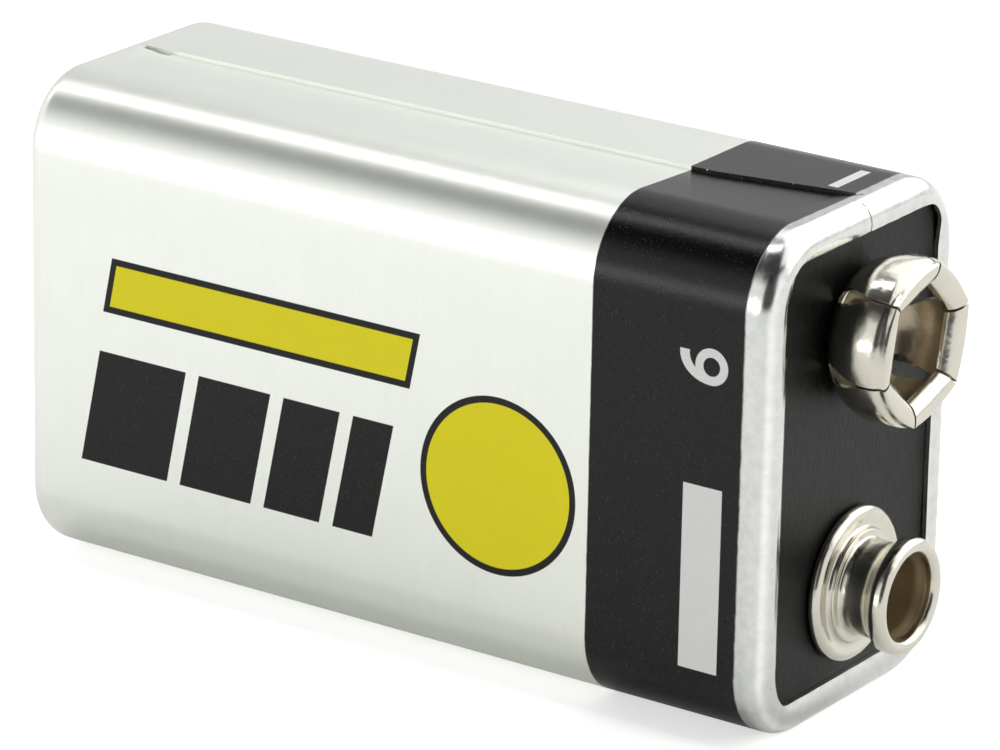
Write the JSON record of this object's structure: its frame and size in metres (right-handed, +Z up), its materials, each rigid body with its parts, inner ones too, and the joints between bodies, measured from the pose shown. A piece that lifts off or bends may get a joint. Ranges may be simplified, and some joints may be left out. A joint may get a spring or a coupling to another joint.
{
  "type": "nine volt battery",
  "caption": "Rectangular nine volt dry battery in a rolled sheet-metal jacket, with a hexagonal snap socket and a round snap stud on one end, and its round cells inside.",
  "frame": {"origin": "on the face that it rests on, under the middle of the overall box", "axes": "+X along the battery towards the snap terminals, +Y through its depth from the near wide face to the far one, +Z up, from the resting narrow face to the narrow face with the lapped seam"},
  "size_m": [0.0474, 0.0166, 0.0252],
  "materials": {
    "printed_tinplate": "satin silver with a printed black band beside the terminal rim",
    "black_plastic": "matte charcoal black",
    "nickel_plate": "bright warm nickel plate",
    "rivet_brass": "dull brass",
    "nickel_strip": "plain nickel strip",
    "fibre_sheet": "matte brown fibre",
    "wrap_film": "thin pale film",
    "cell_can": "nickel plated steel can"
  },
  "bodies": {
    "root": {"jacket": "printed_tinplate", "terminal_board": "black_plastic", "base_cover": "black_plastic", "negative_socket": "nickel_plate", "positive_stud": "nickel_plate", "negative_rivet": "rivet_brass", "positive_rivet": "rivet_brass", "negative_strap": "nickel_strip", "positive_strap": "nickel_strip", "top_link_1": "nickel_strip", "top_link_2": "nickel_strip", "base_link_1": "nickel_strip", "base_link_2": "nickel_strip", "base_link_3": "nickel_strip", "top_insulator": "fibre_sheet", "base_insulator": "fibre_sheet", "cell_wrap": "wrap_film", "cell_1": "cell_can", "cell_2": "cell_can", "cell_3": "cell_can", "cell_4": "cell_can", "cell_5": "cell_can", "cell_6": "cell_can"}
  },
  "joints": []
}
